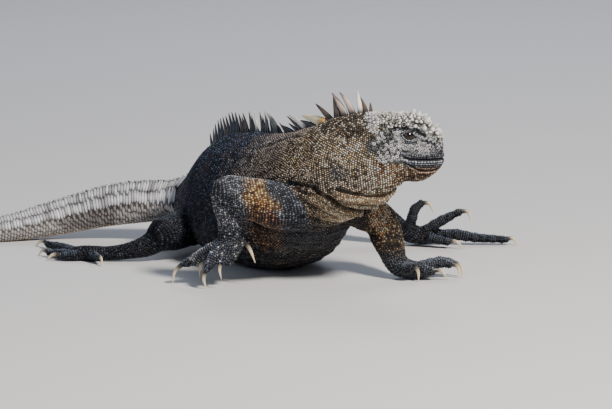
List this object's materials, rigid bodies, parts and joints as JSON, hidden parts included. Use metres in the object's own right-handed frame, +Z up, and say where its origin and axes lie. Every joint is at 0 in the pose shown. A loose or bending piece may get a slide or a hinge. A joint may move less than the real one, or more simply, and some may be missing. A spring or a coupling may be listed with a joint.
{
  "type": "marine iguana",
  "caption": "Life-size still marine iguana, walking over level ground with its head turned and its tail laid out behind.",
  "frame": {"origin": "middle of the flat under the belly, on the ground", "axes": "+Z up, +X the way the head faces, the tail runs to -X and the trunk points to -Y and a little to +X"},
  "size_m": [0.9007, 0.3188, 0.1981],
  "materials": {
    "skin": "dry, finely scaled reptile skin, charcoal with ochre and grey speckles",
    "eye": "wet dark brown eye",
    "ear_drum": "thin grey-blue membrane",
    "claw": "worn horn, cream with a dark root"
  },
  "bodies": {
    "root": {"chest": "skin", "ear_left": "ear_drum", "ear_right": "ear_drum", "eye_left": "eye", "eye_right": "eye", "head": "skin", "left_foot": "skin", "left_foot_claw_1": "claw", "left_foot_claw_2": "claw", "left_foot_claw_3": "claw", "left_foot_claw_4": "claw", "left_foot_claw_5": "claw", "left_forearm": "skin", "left_hand": "skin", "left_hand_claw_1": "claw", "left_hand_claw_2": "claw", "left_hand_claw_3": "claw", "left_hand_claw_4": "claw", "left_hand_claw_5": "claw", "left_shank": "skin", "left_thigh": "skin", "left_upper_arm": "skin", "lower_jaw": "skin", "neck": "skin", "pelvis": "skin", "right_foot": "skin", "right_foot_claw_1": "claw", "right_foot_claw_2": "claw", "right_foot_claw_3": "claw", "right_foot_claw_4": "claw", "right_foot_claw_5": "claw", "right_forearm": "skin", "right_hand": "skin", "right_hand_claw_1": "claw", "right_hand_claw_2": "claw", "right_hand_claw_3": "claw", "right_hand_claw_4": "claw", "right_hand_claw_5": "claw", "right_shank": "skin", "right_thigh": "skin", "right_upper_arm": "skin", "tail_base": "skin", "tail_end": "skin", "tail_middle": "skin", "tail_tip": "skin", "trunk": "skin"}
  },
  "joints": []
}
